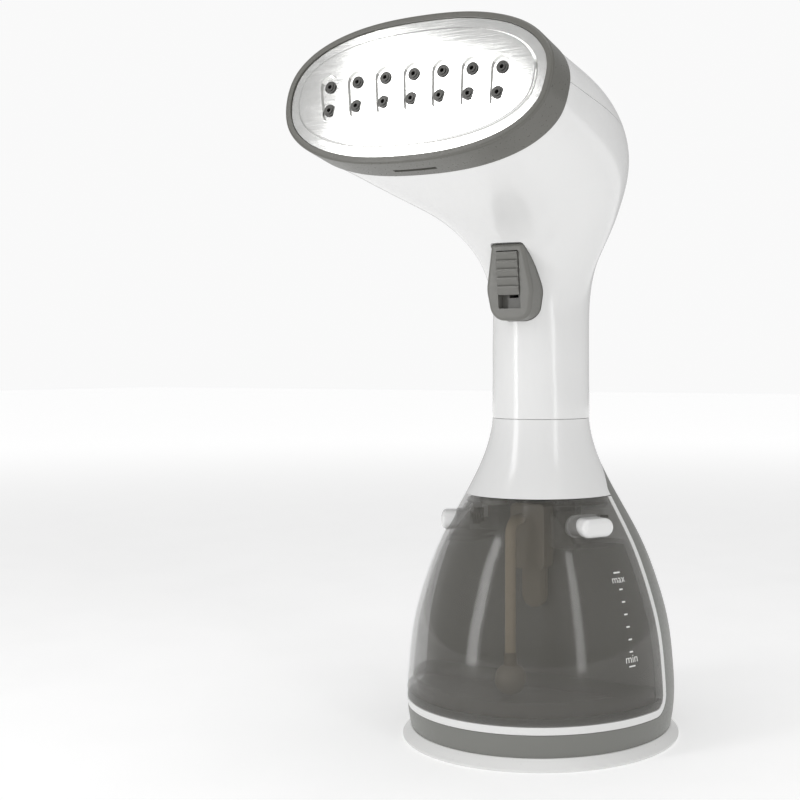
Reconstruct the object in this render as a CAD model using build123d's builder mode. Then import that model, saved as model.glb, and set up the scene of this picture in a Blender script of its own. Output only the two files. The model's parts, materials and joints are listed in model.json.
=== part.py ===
from build123d import *
import math
import os

# Handheld garment steamer standing on its round foot.
# Millimetres. +Z is up, the origin is the centre of the foot on the table, and the
# steam plate faces -Y. +X is to the right of somebody who faces the plate.

os.makedirs("parts", exist_ok=True)

# ---------------------------------------------------------------- driving dimensions
REACH = 150.0            # longer than any half of the object, for cuts that go right through
WALL = 2.2               # moulded wall thickness
SEAM_GAP = 0.2           # visible joint between two fixed covers
TANK_GAP = 0.4           # air between the tank and what it slides past

FOOT_R = 59.0            # outer radius of the foot disc
FOOT_SHOULDER_R = 55.6   # radius where the body stands on the foot
RING_BOTTOM_Z = 4.8      # underside of the grey body ring
SHELF_Z = 14.0           # underside of the white shelf that carries the tank
TRIM = 3.0               # width of the white trim line round the tank
TANK_FLOOR_Z = SHELF_Z + TRIM + TANK_GAP
TANK_TOP_Z = 102.0
SEAM_Z = 134.4           # joint between the skirt cover and the handle
HANDLE_R = 20.8          # handle radius at that joint

# Radius and height of the bell-shaped lower body, from its bottom ring to the handle.
BELL_OUTLINE = [
    (55.4, RING_BOTTOM_Z), (57.1, 18.0), (56.6, 30.0), (54.4, 48.4), (49.9, 65.0),
    (43.3, 82.0), (36.4, 95.0), (28.2, 110.0), (22.9, 123.0), (HANDLE_R, SEAM_Z),
]

# Steam plate: an oval that leans back, with its own plane. Local X is along +X,
# local Y goes up the plate and local Z points out of it.
PLATE_TILT = math.radians(12.0)
PLATE_CENTRE = (0, -101.5, 256.4)
PLATE = Plane(
    origin=PLATE_CENTRE,
    x_dir=(1, 0, 0),
    z_dir=(0, -math.cos(PLATE_TILT), math.sin(PLATE_TILT)),
)
PLATE_HALF_X = 53.8
PLATE_HALF_Y = 25.5
OVAL_POWER = 2.35        # superellipse exponent of the plate, collar and heater outlines
RING_POINTS = 20         # points round a whole oval
COLLAR_DEPTH = 13.0
COLLAR_LIP = 0.6         # the collar's front edge stands this much proud of the plate's rim
COLLAR_MARGIN = 2.7      # collar outline outside the plate outline
HEAD_STEP = 0.6          # the head starts this much inside the collar's outline

# The head and handle form one bent tube between two curves of the side profile, each
# given by its y and z. Both end at the collar, whose plane belongs to the plate.
HEAD_FRONT = [
    (-HANDLE_R, SEAM_Z), (-21.3, 160.0), (-22.0, 183.0), (-26.5, 201.0), (-38.0, 210.0), (-58.0, 216.5),
]
HEAD_REAR = [
    (HANDLE_R, SEAM_Z), (21.3, 160.0), (23.0, 192.0), (29.0, 210.0), (36.3, 230.0), (31.0, 250.0),
    (12.0, 266.0), (-20.0, 276.0),
]
# Stations of the tube: the share of the front curve, the share of the rear curve and the
# half width there. The rear share lags in the handle, which keeps its stations nearly level.
HEAD_STATIONS = [
    (0.0, 0.0, HANDLE_R), (0.08, 0.05, 20.7), (0.155, 0.12, 20.5), (0.225, 0.2, 20.4), (0.29, 0.285, 21.0),
    (0.365, 0.365, 24.8), (0.455, 0.455, 33.0), (0.545, 0.545, 41.5), (0.64, 0.64, 47.0), (0.73, 0.73, 50.4),
    (0.82, 0.82, 52.8), (0.91, 0.91, 54.5), (1.0, 1.0, PLATE_HALF_X + COLLAR_MARGIN - HEAD_STEP),
]
HANDLE_POWER = 2.0       # exponent of the handle's plain oval section
HEAD_START = 0.4         # share of the tube where the handle's section starts to change
ARC_POINTS = 8           # spans round half of an oval

SWITCH_TRAVEL = 5.0      # downward travel of the slide switch


# ---------------------------------------------------------------- shared geometry
def oval_points(half_x, half_y, power, count=RING_POINTS):
    """Points round a superellipse centred on the local origin."""
    points = []
    for index in range(count):
        angle = 2 * math.pi * index / count
        along = math.cos(angle)
        across = math.sin(angle)
        x = half_x * math.copysign(abs(along) ** (2 / power), along)
        y = half_y * math.copysign(abs(across) ** (2 / power), across)
        points.append((x, y))
    return points


def oval(half_x, half_y, power=OVAL_POWER, mode=Mode.ADD):
    """Add a superellipse face to the sketch that is being built."""
    with BuildLine() as outline:
        Spline(*oval_points(half_x, half_y, power), periodic=True)
    make_face(outline.edges(), mode=mode)


def plate_oval(margin, mode=Mode.ADD):
    """Add the plate's outline, grown by a margin, to the sketch that is being built."""
    oval(PLATE_HALF_X + margin, PLATE_HALF_Y + margin, mode=mode)


def plate_point(x, y, depth):
    """Place of a point given across, up and outwards from the plate."""
    return tuple(PLATE.from_local_coords(Vector(x, y, depth)))


def bell_solid(inset=0.0):
    """The bell as two half turns of its outline, moved inwards by inset, at full height."""
    with BuildPart() as bell:
        with BuildSketch(Plane.XZ):
            with BuildLine():
                outline = Spline(*[(radius - inset, height) for radius, height in BELL_OUTLINE])
                Polyline(outline @ 1, (0, SEAM_Z), (0, RING_BOTTOM_Z), outline @ 0)
            make_face()
        revolve(axis=Axis.Z, revolution_arc=180)
        mirror(about=Plane.XZ)
    return bell.part


def side_cut(corners, radii, mode):
    """Extrude a rounded outline, drawn in the YZ plane, right across the part."""
    with BuildSketch(Plane.YZ.offset(-REACH)) as side_view:
        with BuildLine():
            if radii:
                FilletPolyline(*corners, radius=radii, close=True)
            else:
                Polyline(*corners, close=True)
        make_face()
    extrude(side_view.sketch, amount=2 * REACH, dir=(1, 0, 0), mode=mode)


def bell_block(corners, radii, outer=0.0, inner=None):
    """The bell between two insets, where it lies inside an outline in the YZ plane."""
    outer_bell = bell_solid(outer)
    inner_bell = None if inner is None else bell_solid(inner)
    with BuildPart() as block:
        add(outer_bell)
        if inner_bell is not None:
            add(inner_bell, mode=Mode.SUBTRACT)
        side_cut(corners, radii, Mode.INTERSECT)
    return block.part


def half_oval_points(half_x, half_y, power):
    """Points up the right half of a superellipse, from its lowest to its highest."""
    points = [(0, -half_y)]
    for index in range(1, ARC_POINTS):
        angle = math.pi * (index / ARC_POINTS - 0.5)
        x = half_x * math.cos(angle) ** (2 / power)
        y = half_y * math.copysign(abs(math.sin(angle)) ** (2 / power), math.sin(angle))
        points.append((x, y))
    return points + [(0, half_y)]


def head_stations():
    """Front point, rear point, half width and exponent of each station of the head."""
    half_y = PLATE_HALF_Y + COLLAR_MARGIN - HEAD_STEP
    depth = -COLLAR_DEPTH - SEAM_GAP
    front_end = plate_point(0, -half_y, depth)[1:]
    rear_end = plate_point(0, half_y, depth)[1:]
    front_finish = Vector(*front_end) - Vector(*HEAD_FRONT[-1])
    rear_finish = Vector(*rear_end) - Vector(*HEAD_REAR[-1])
    front_points = [Vector(*point) for point in HEAD_FRONT + [front_end]]
    rear_points = [Vector(*point) for point in HEAD_REAR + [rear_end]]
    front = Edge.make_spline(front_points, tangents=[Vector(0, 1), front_finish])
    rear = Edge.make_spline(rear_points, tangents=[Vector(0, 1), rear_finish])
    stations = []
    for front_share, rear_share, half_width in HEAD_STATIONS:
        along_head = max(0.0, front_share - HEAD_START) / (1 - HEAD_START)
        power = HANDLE_POWER + (OVAL_POWER - HANDLE_POWER) * along_head
        stations.append((front @ front_share, rear @ rear_share, half_width, power))
    return stations


def head_block(inset):
    """The bent tube of handle and head, moved inwards by inset on every station."""
    with BuildPart() as block:
        for front, rear, half_width, power in head_stations():
            span = rear - front
            middle = (front + rear) / 2
            across = Plane(origin=(0, middle.X, middle.Y), x_dir=(1, 0, 0), z_dir=(0, -span.Y, span.X))
            points = half_oval_points(half_width - inset, span.length / 2 - inset, power)
            with BuildSketch(across):
                with BuildLine():
                    Spline(*points, tangents=[(1, 0), (-1, 0)])
                    Line(points[-1], points[0])
                make_face()
        loft()
        mirror(about=Plane.YZ)
    return block.part


def rod(path, radii, radius, bore=0.0):
    """A hose or wire: straight runs joined by tangent arcs, with an optional bore."""
    with BuildPart() as part:
        with BuildLine() as route:
            FilletPolyline(*path, radius=radii)
        start = Plane(origin=route.line @ 0, z_dir=route.line % 0)
        with BuildSketch(start):
            Circle(radius)
            if bore:
                Circle(bore, mode=Mode.SUBTRACT)
        sweep(path=route.line)
    return part.part


# ---------------------------------------------------------------- foot
SCREW_CIRCLE_R = 44.0
BASE_SCREW_ANGLE = 45.0
SHANK_R = 1.4
PILOT_R = 1.45
SCREW_HEAD_R = 2.8
FOOT_PLATE_T = 2.4
PAD_CIRCLE_R = 52.0
PAD_R = 4.5
PAD_T = 1.2

with BuildPart() as base_foot:
    with BuildSketch(Plane.XZ):
        with BuildLine():
            Polyline(
                (0, 0), (FOOT_R - 0.4, 0), (FOOT_R, 0.4), (FOOT_R, 1.1),
                (FOOT_SHOULDER_R, RING_BOTTOM_Z - 0.1), (52.8, RING_BOTTOM_Z - 0.1),
                (51.4, FOOT_PLATE_T), (0, FOOT_PLATE_T), close=True,
            )
        make_face()
    revolve(axis=Axis.Z)
    top_circles = base_foot.edges().filter_by(GeomType.CIRCLE).group_by(Axis.Z)[-1]
    fillet(top_circles.sort_by(SortBy.LENGTH)[-1], 0.4)
    with BuildSketch():
        with PolarLocations(PAD_CIRCLE_R, 4):
            Circle(PAD_R + 0.1)
    extrude(amount=PAD_T + 0.1, mode=Mode.SUBTRACT)
    with BuildSketch():
        with PolarLocations(SCREW_CIRCLE_R, 4, start_angle=BASE_SCREW_ANGLE):
            Circle(SCREW_HEAD_R + 0.2)
    extrude(amount=1.3, mode=Mode.SUBTRACT)
    with BuildSketch():
        with PolarLocations(SCREW_CIRCLE_R, 4, start_angle=BASE_SCREW_ANGLE):
            Circle(SHANK_R + 0.2)
    extrude(amount=FOOT_PLATE_T, mode=Mode.SUBTRACT)
base_foot.part.label = "base_foot"
export_step(base_foot.part, "parts/base_foot.step")

with BuildPart() as rubber_feet:
    with BuildSketch():
        with PolarLocations(PAD_CIRCLE_R, 4):
            Circle(PAD_R)
    extrude(amount=PAD_T)
rubber_feet.part.label = "rubber_feet"
export_step(rubber_feet.part, "parts/rubber_feet.step")

with BuildPart() as base_screws:
    with PolarLocations(SCREW_CIRCLE_R, 4, start_angle=BASE_SCREW_ANGLE):
        with Locations((0, 0, 0.2)):
            Cylinder(SCREW_HEAD_R, 1.0, align=(Align.CENTER, Align.CENTER, Align.MIN))
            Cylinder(SHANK_R, 9.5, align=(Align.CENTER, Align.CENTER, Align.MIN))
            Box(3.6, 0.6, 1.0, align=(Align.CENTER, Align.CENTER, Align.CENTER), mode=Mode.SUBTRACT)
base_screws.part.label = "base_screws"
export_step(base_screws.part, "parts/base_screws.step")

# ---------------------------------------------------------------- rear shell and tank frame
BULKHEAD_Y = TRIM / 2    # rear face of the flat wall behind the tank
TRIM_CORNER_R = 8.5      # outer rounding where the trim turns from upright to level
ARCH = [(10.0, 114.2), (24.0, 121.6)]   # where the grey shell laps over the skirt, side view
ARCH_FOOT_Z = 105.0
REAR_FLOOR_Z = 19.0
INLET_Z = 28.0
INLET_R = 4.6
COUPLING_Z = 84.0
SOCKET_R = 6.4

shell_corners = [
    (-REACH, RING_BOTTOM_Z), (REACH, RING_BOTTOM_Z), (REACH, ARCH[1][1]), ARCH[1], ARCH[0],
    (BULKHEAD_Y + SEAM_GAP, ARCH_FOOT_Z), (BULKHEAD_Y + SEAM_GAP, SHELF_Z - SEAM_GAP),
    (-REACH, SHELF_Z - SEAM_GAP),
]
shell_block = bell_block(shell_corners, [0, 0, 0, 6, 12, 3, TRIM_CORNER_R - 0.2, 0], inner=WALL)

with BuildPart() as rear_shell:
    add(shell_block)
    with BuildSketch(Plane.XZ.offset(-REACH)):
        with Locations((0, INLET_Z)):
            Circle(INLET_R)
    extrude(amount=REACH - 30, mode=Mode.SUBTRACT)
rear_shell.part.label = "rear_shell"
export_step(rear_shell.part, "parts/rear_shell.step")

frame_corners = [
    (-REACH, SHELF_Z), (BULKHEAD_Y, SHELF_Z), (BULKHEAD_Y, TANK_TOP_Z),
    (-BULKHEAD_Y, TANK_TOP_Z), (-BULKHEAD_Y, SHELF_Z + TRIM), (-REACH, SHELF_Z + TRIM),
]
frame_block = bell_block(frame_corners, [0, TRIM_CORNER_R, 0, 0, TRIM_CORNER_R - TRIM, 0])
floor_corners = [
    (0.3, REAR_FLOOR_Z), (REACH, REAR_FLOOR_Z), (REACH, REAR_FLOOR_Z + TRIM), (0.3, REAR_FLOOR_Z + TRIM),
]
floor_block = bell_block(floor_corners, None, outer=WALL + SEAM_GAP)

BUTTON_Z = 91.0
BUTTON_ANGLE = math.radians(61.0)     # from straight ahead, to each side
WINDOW_X = (27.4, 32.4)               # opening in the frame for each latch arm
WINDOW_HALF_H = 3.2

with BuildPart() as tank_frame:
    add(frame_block)
    add(floor_block)
    for angle, top in ((-135, SHELF_Z), (-45, SHELF_Z), (45, REAR_FLOOR_Z), (135, REAR_FLOOR_Z)):
        spot = Vector(SCREW_CIRCLE_R, 0, 0).rotate(Axis.Z, angle)
        with BuildSketch(Plane.XY.offset(FOOT_PLATE_T + 0.1)):
            with Locations((spot.X, spot.Y)):
                Circle(4.0)
        extrude(amount=top - FOOT_PLATE_T + 0.9)
        with BuildSketch(Plane.XY.offset(FOOT_PLATE_T + 0.1)):
            with Locations((spot.X, spot.Y)):
                Circle(PILOT_R)
        extrude(amount=9.0, mode=Mode.SUBTRACT)
    with BuildSketch(Plane.XZ.offset(-10)):
        with Locations((0, COUPLING_Z)):
            Circle(SOCKET_R + 0.1)
        for side in (-1, 1):
            with Locations((side * sum(WINDOW_X) / 2, BUTTON_Z)):
                Rectangle(WINDOW_X[1] - WINDOW_X[0], 2 * WINDOW_HALF_H)
    extrude(amount=20, mode=Mode.SUBTRACT)
tank_frame.part.label = "tank_frame"
export_step(tank_frame.part, "parts/tank_frame.step")

# ---------------------------------------------------------------- skirt cover
SPIGOT_R = HANDLE_R - WALL - 0.8
SPIGOT_TOP = SEAM_Z + 4.0
skirt_corners = [
    (-REACH, TANK_TOP_Z + TANK_GAP), (BULKHEAD_Y, TANK_TOP_Z + TANK_GAP), (BULKHEAD_Y, ARCH_FOOT_Z),
    (ARCH[0][0] - SEAM_GAP, ARCH[0][1] + SEAM_GAP), (ARCH[1][0], ARCH[1][1] + SEAM_GAP),
    (REACH, ARCH[1][1] + SEAM_GAP), (REACH, SEAM_Z - SEAM_GAP), (-REACH, SEAM_Z - SEAM_GAP),
]
skirt_block = bell_block(skirt_corners, [0, 0, 3, 12, 6, 0, 0, 0], inner=WALL)

with BuildPart() as skirt_cover:
    add(skirt_block)
    with BuildSketch(Plane.XY.offset(SEAM_Z - 4)):
        Circle(HANDLE_R - 1.0)
        Circle(SPIGOT_R - 1.8, mode=Mode.SUBTRACT)
    extrude(amount=4 - SEAM_GAP)
    with BuildSketch(Plane.XY.offset(SEAM_Z - 1)):
        Circle(SPIGOT_R)
        Circle(SPIGOT_R - 1.8, mode=Mode.SUBTRACT)
    extrude(amount=SPIGOT_TOP - SEAM_Z + 1)
skirt_cover.part.label = "skirt_cover"
export_step(skirt_cover.part, "parts/skirt_cover.step")

# ---------------------------------------------------------------- handle and head covers
head_outer = head_block(0)
head_inner = head_block(WALL)
head_middle = head_block(WALL / 2)

# Side view of the joint: from the collar along the side of the head to the vent's tip,
# down behind the vent and along the back of the handle.
VENT_TIP = (4.0, 252.0)
PARTING_Y = 12.0         # joint down each side of the handle
cover_corners = [
    (-REACH, 258.4), VENT_TIP, (25.0, 236.0), (26.0, 222.0), (PARTING_Y, 200.0), (PARTING_Y, 100.0),
    (REACH, 100.0), (REACH, 300.0), (-REACH, 300.0),
]
cover_radii = [0, 0, 8, 20, 25, 0, 0, 0, 0]

# Pod on the front of the handle: a shield outline in the XZ plane.
POD_CORNERS = [
    (-7.4, 206.6), (7.4, 206.6), (10.9, 188.0), (8.8, 175.2), (-8.8, 175.2), (-10.9, 188.0),
]
POD_RADII = [1.2, 1.2, 14, 6.5, 6.5, 14]
POD_BACK_Y = -18.6
SCREW_X = 10.3
SCREW_HEIGHTS = (144.0, 176.0)
BOSS_R = 3.0


def pod_outline(margin):
    """Add the pod's outline, grown by a margin, to the sketch that is being built."""
    with BuildLine() as outline:
        FilletPolyline(*POD_CORNERS, radius=POD_RADII, close=True)
    make_face(outline.edges())
    if margin:
        offset(amount=margin, mode=Mode.REPLACE)


def boss_locations():
    """Places of the four housing screws, seen from the front."""
    return [(side * SCREW_X, height) for side in (-1, 1) for height in SCREW_HEIGHTS]


with BuildPart() as boss_rods:
    with BuildSketch(Plane.XZ.offset(-REACH / 2)):
        with Locations(*boss_locations()):
            Circle(BOSS_R)
    extrude(amount=REACH)
    add(head_middle, mode=Mode.INTERSECT)

with BuildPart() as front_shell:
    add(head_outer)
    add(head_inner, mode=Mode.SUBTRACT)
    add(boss_rods.part)
    side_cut(cover_corners, cover_radii, Mode.SUBTRACT)
    with BuildSketch(Plane.XZ.offset(-POD_BACK_Y - 6)):
        pod_outline(0.2)
    extrude(amount=40, mode=Mode.SUBTRACT)
    with BuildSketch(Plane.XZ.offset(-PARTING_Y)):
        with Locations(*boss_locations()):
            Circle(PILOT_R)
    extrude(amount=12, mode=Mode.SUBTRACT)
front_shell.part.label = "front_shell"
export_step(front_shell.part, "parts/front_shell.step")

# The vent opens right round the back of the head, so the rear is closed by two covers:
# one over the top of the head and one down the back of the handle.
VENT_REACH = 60.0
VENT_HIGH_Z = 235.0      # upper and lower edge of the vent, carried out to VENT_REACH
VENT_LOW_Z = 209.0
HEAD_TOP_CORNERS = [
    (-REACH, 258.6), (VENT_TIP[0], VENT_TIP[1] + SEAM_GAP), (VENT_REACH, VENT_HIGH_Z), (VENT_REACH, 300.0),
    (-REACH, 300.0),
]
with BuildPart() as head_cover:
    add(head_outer)
    add(head_inner, mode=Mode.SUBTRACT)
    side_cut(HEAD_TOP_CORNERS, None, Mode.INTERSECT)
head_cover.part.label = "head_cover"
export_step(head_cover.part, "parts/head_cover.step")

low_slope = (VENT_LOW_Z - VENT_TIP[1]) / (VENT_REACH - VENT_TIP[0])
handle_corners = [
    (12.2, 100.0), (VENT_REACH, 100.0), (VENT_REACH, VENT_LOW_Z),
    (25.2, VENT_TIP[1] + low_slope * (25.2 - VENT_TIP[0])), (26.2, 222.0), (12.2, 200.0),
]
handle_radii = [0, 0, 0, 0, 8, 25]
with BuildPart() as rear_bosses:
    add(boss_rods.part)
    side_cut(handle_corners, handle_radii, Mode.INTERSECT)
with BuildPart() as handle_cover:
    side_cut(handle_corners, handle_radii, Mode.ADD)
    add(head_inner, mode=Mode.SUBTRACT)
    add(head_outer, mode=Mode.INTERSECT)
    add(rear_bosses.part)
    with BuildSketch(Plane.XZ.offset(-PARTING_Y - 3)):
        with Locations(*boss_locations()):
            Circle(SCREW_HEAD_R + 0.1)
    extrude(amount=-20, mode=Mode.SUBTRACT)
    with BuildSketch(Plane.XZ.offset(-PARTING_Y)):
        with Locations(*boss_locations()):
            Circle(SHANK_R + 0.1)
    extrude(amount=-20, mode=Mode.SUBTRACT)
handle_cover.part.label = "handle_cover"
export_step(handle_cover.part, "parts/handle_cover.step")

with BuildPart() as housing_screws:
    with BuildSketch(Plane.XZ.offset(-PARTING_Y - 3)):
        with Locations(*boss_locations()):
            Circle(SCREW_HEAD_R)
    extrude(amount=-1.5)
    with BuildSketch(Plane.XZ.offset(-PARTING_Y - 3)):
        with Locations(*boss_locations()):
            Circle(SHANK_R)
    extrude(amount=13)
housing_screws.part.label = "housing_screws"
export_step(housing_screws.part, "parts/housing_screws.step")

# Grille behind the vent opening: a skin that follows the head, with slits that fan out
# from the vent's tip.
GRILLE_TOP = WALL + 0.4
GRILLE_T = 1.6
grille_outer = head_block(GRILLE_TOP)
grille_inner = head_block(GRILLE_TOP + GRILLE_T)
grille_corners = [(-2.0, 254.6), (VENT_REACH, 240.0), (VENT_REACH, 203.0)]
SLIT_START_Y = 14.0
SLIT_SLOPES = (-0.40, -0.53, -0.66)
SLIT_HALF = 0.03
with BuildPart() as rear_vent_grille:
    add(grille_outer)
    add(grille_inner, mode=Mode.SUBTRACT)
    side_cut(grille_corners, None, Mode.INTERSECT)
    with BuildSketch(Plane.YZ.offset(-REACH)):
        for slope in SLIT_SLOPES:
            with BuildLine():
                near = SLIT_START_Y - VENT_TIP[0]
                far = VENT_REACH - VENT_TIP[0]
                Polyline(
                    (SLIT_START_Y, VENT_TIP[1] + near * (slope + SLIT_HALF)),
                    (VENT_REACH, VENT_TIP[1] + far * (slope + SLIT_HALF)),
                    (VENT_REACH, VENT_TIP[1] + far * (slope - SLIT_HALF)),
                    (SLIT_START_Y, VENT_TIP[1] + near * (slope - SLIT_HALF)),
                    close=True,
                )
            make_face()
    extrude(amount=2 * REACH, mode=Mode.SUBTRACT)
rear_vent_grille.part.label = "rear_vent_grille"
export_step(rear_vent_grille.part, "parts/rear_vent_grille.step")

# ---------------------------------------------------------------- collar and steam plate
RIM_T = 1.4              # thickness of the plate's rim
RIM_W = 3.6              # width of the flat rim round the raised field
FIELD_RISE = 0.9
GASKET_T = 1.8
SPIGOT_L = 2.6           # the collar reaches this far into the head
SLOT_COUNT = 7
SLOT_PITCH = 12.0
SLOT_FAN = 1.85          # degrees that each slot turns further than its neighbour
SLOT_SAG = 1.4           # the middle slot sits this much higher than the end ones
HOLE_SPACING = 9.3
HOLE_R = 2.4
NOZZLE_R = 2.3
CATCH_W = 18.0

with BuildPart() as collar:
    with BuildSketch(PLATE.offset(-COLLAR_DEPTH)):
        plate_oval(COLLAR_MARGIN)
    extrude(amount=COLLAR_DEPTH + COLLAR_LIP)
    fillet(collar.faces().sort_by(Axis(PLATE_CENTRE, PLATE.z_dir))[-1].edges(), 1.0)
    with BuildSketch(PLATE.offset(-COLLAR_DEPTH - SPIGOT_L)):
        plate_oval(COLLAR_MARGIN - HEAD_STEP - WALL - 1.0)
    extrude(amount=SPIGOT_L + 1)
    with BuildSketch(PLATE.offset(-RIM_T)):
        plate_oval(0.2)
    extrude(amount=RIM_T + COLLAR_LIP, mode=Mode.SUBTRACT)
    with BuildSketch(PLATE.offset(-COLLAR_DEPTH - SPIGOT_L)):
        plate_oval(-3.4)
    extrude(amount=COLLAR_DEPTH + SPIGOT_L, mode=Mode.SUBTRACT)
    with BuildSketch(PLATE.offset(-8.6)):
        with Locations((0, -PLATE_HALF_Y - COLLAR_MARGIN)):
            Rectangle(CATCH_W, 2.6)
    extrude(amount=1.8, mode=Mode.SUBTRACT)
collar.part.label = "collar"
export_step(collar.part, "parts/collar.step")


def slot_planes():
    """Local planes of the slots. Their upper ends fan outwards along a shallow arc."""
    half = (SLOT_COUNT - 1) / 2
    planes = []
    for index in range(SLOT_COUNT):
        step = index - half
        rise = SLOT_SAG * (0.5 - (step / half) ** 2)
        lean = math.radians(step * SLOT_FAN)
        along = PLATE.x_dir * math.cos(lean) - PLATE.y_dir * math.sin(lean)
        planes.append(Plane(
            origin=plate_point(step * SLOT_PITCH, rise, 0), x_dir=along, z_dir=PLATE.z_dir,
        ))
    return planes


with BuildPart() as steam_plate:
    with BuildSketch(PLATE.offset(-RIM_T)):
        plate_oval(0)
    extrude(amount=RIM_T)
    with BuildSketch(PLATE):
        plate_oval(-RIM_W)
    extrude(amount=FIELD_RISE)
    fillet(steam_plate.faces().sort_by(Axis(PLATE_CENTRE, PLATE.z_dir))[-1].edges(), 0.7)
    for slot_plane in slot_planes():
        with BuildSketch(slot_plane):
            with BuildLine():
                CenterArc((0, 4.9), 4.1, 0, 360)
                CenterArc((0, -7.6), 2.2, 0, 360)
            make_hull()
        extrude(amount=FIELD_RISE, mode=Mode.SUBTRACT)
        with BuildSketch(slot_plane.offset(-RIM_T)):
            with Locations((0, HOLE_SPACING / 2), (0, -HOLE_SPACING / 2)):
                Circle(HOLE_R)
        extrude(amount=RIM_T, mode=Mode.SUBTRACT)
steam_plate.part.label = "steam_plate"
export_step(steam_plate.part, "parts/steam_plate.step")

with BuildPart() as steam_nozzles:
    for slot_plane in slot_planes():
        with BuildSketch(slot_plane.offset(-RIM_T)):
            with Locations((0, HOLE_SPACING / 2), (0, -HOLE_SPACING / 2)):
                Circle(NOZZLE_R)
                Circle(0.8, mode=Mode.SUBTRACT)
        extrude(amount=RIM_T + 0.5)
        with BuildSketch(slot_plane.offset(0.5)):
            with Locations((0, HOLE_SPACING / 2), (0, -HOLE_SPACING / 2)):
                Circle(1.5)
                Circle(0.8, mode=Mode.SUBTRACT)
        extrude(amount=0.3)
steam_nozzles.part.label = "steam_nozzles"
export_step(steam_nozzles.part, "parts/steam_nozzles.step")

with BuildPart() as plate_gasket:
    with BuildSketch(PLATE.offset(-RIM_T - GASKET_T)):
        plate_oval(-3.8)
        plate_oval(-7.0, mode=Mode.SUBTRACT)
    extrude(amount=GASKET_T)
plate_gasket.part.label = "plate_gasket"
export_step(plate_gasket.part, "parts/plate_gasket.step")

# ---------------------------------------------------------------- boiler
BLOCK_FRONT = -RIM_T - GASKET_T
BLOCK_T = 15.0
BLOCK_BACK = BLOCK_FRONT - BLOCK_T
COVER_T = 1.6
ELEMENT_R = 3.2
ELEMENT_DEPTH = BLOCK_BACK + 2.2
ELEMENT_HALF_Y = 10.6
ELEMENT_BEND_X = 35.0
ELEMENT_END_X = -40.0
CHAMBER_X = 28.0
CHAMBER_Y = 6.8


def element_rod(end_x, radius):
    """The U-shaped heating tube, or the groove it lies in."""
    route = [
        plate_point(end_x, -ELEMENT_HALF_Y, ELEMENT_DEPTH),
        plate_point(ELEMENT_BEND_X, -ELEMENT_HALF_Y, ELEMENT_DEPTH),
        plate_point(ELEMENT_BEND_X, ELEMENT_HALF_Y, ELEMENT_DEPTH),
        plate_point(end_x, ELEMENT_HALF_Y, ELEMENT_DEPTH),
    ]
    return rod(route, ELEMENT_HALF_Y - 2, radius)


element_groove = element_rod(ELEMENT_END_X - 10, ELEMENT_R + 0.1)
element_tube = element_rod(ELEMENT_END_X, ELEMENT_R)

with BuildPart() as heater_block:
    with BuildSketch(PLATE.offset(BLOCK_BACK)):
        plate_oval(-7.4)
    extrude(amount=BLOCK_T)
    with BuildSketch(PLATE.offset(BLOCK_BACK)):
        oval(CHAMBER_X, CHAMBER_Y)
    extrude(amount=9.0, mode=Mode.SUBTRACT)
    add(element_groove, mode=Mode.SUBTRACT)
    for slot_plane in slot_planes():
        with BuildSketch(slot_plane.offset(BLOCK_FRONT - 6.5)):
            with Locations((0, 3.5), (0, -3.5)):
                Circle(1.2)
        extrude(amount=6.5, mode=Mode.SUBTRACT)
heater_block.part.label = "heater_block"
export_step(heater_block.part, "parts/heater_block.step")

with BuildPart() as heating_element:
    add(element_tube)
    for side in (-1, 1):
        tip = plate_point(ELEMENT_END_X, side * ELEMENT_HALF_Y, ELEMENT_DEPTH)
        with BuildSketch(Plane(origin=tip, z_dir=(-1, 0, 0))):
            Circle(1.1)
        extrude(amount=4)
heating_element.part.label = "heating_element"
export_step(heating_element.part, "parts/heating_element.step")

COVER_SCREWS = [(-24.5, 0), (24.5, 0)]
INLET_SPOT = (12.0, 0.0)
with BuildPart() as boiler_cover:
    with BuildSketch(PLATE.offset(BLOCK_BACK - COVER_T)):
        oval(CHAMBER_X + 2.0, CHAMBER_Y + 0.8)
    extrude(amount=COVER_T - 0.05)
    with BuildSketch(PLATE.offset(BLOCK_BACK - COVER_T - 8)):
        with Locations(INLET_SPOT):
            Circle(2.4)
    extrude(amount=8)
    with BuildSketch(PLATE.offset(BLOCK_BACK - COVER_T - 8)):
        with Locations(INLET_SPOT):
            Circle(1.4)
        with Locations(*COVER_SCREWS):
            Circle(SHANK_R + 0.1)
    extrude(amount=8 + COVER_T, mode=Mode.SUBTRACT)
boiler_cover.part.label = "boiler_cover"
export_step(boiler_cover.part, "parts/boiler_cover.step")

with BuildPart() as boiler_screws:
    with BuildSketch(PLATE.offset(BLOCK_BACK - COVER_T - 0.05)):
        with Locations(*COVER_SCREWS):
            Circle(2.6)
    extrude(amount=-1.6)
    with BuildSketch(PLATE.offset(BLOCK_BACK - COVER_T - 0.05)):
        with Locations(*COVER_SCREWS):
            Circle(SHANK_R)
    extrude(amount=COVER_T + 3)
boiler_screws.part.label = "boiler_screws"
export_step(boiler_screws.part, "parts/boiler_screws.step")

with BuildPart() as thermostat:
    with BuildSketch(PLATE.offset(BLOCK_BACK - COVER_T - 0.1)):
        with Locations((-12, 0)):
            Circle(7.4)
    extrude(amount=-6.0)
    with BuildSketch(PLATE.offset(BLOCK_BACK - COVER_T - 6.1)):
        with Locations((-15.5, 0), (-8.5, 0)):
            Rectangle(1.0, 5.0)
    extrude(amount=-6.0)
thermostat.part.label = "thermostat"
export_step(thermostat.part, "parts/thermostat.step")

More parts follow.
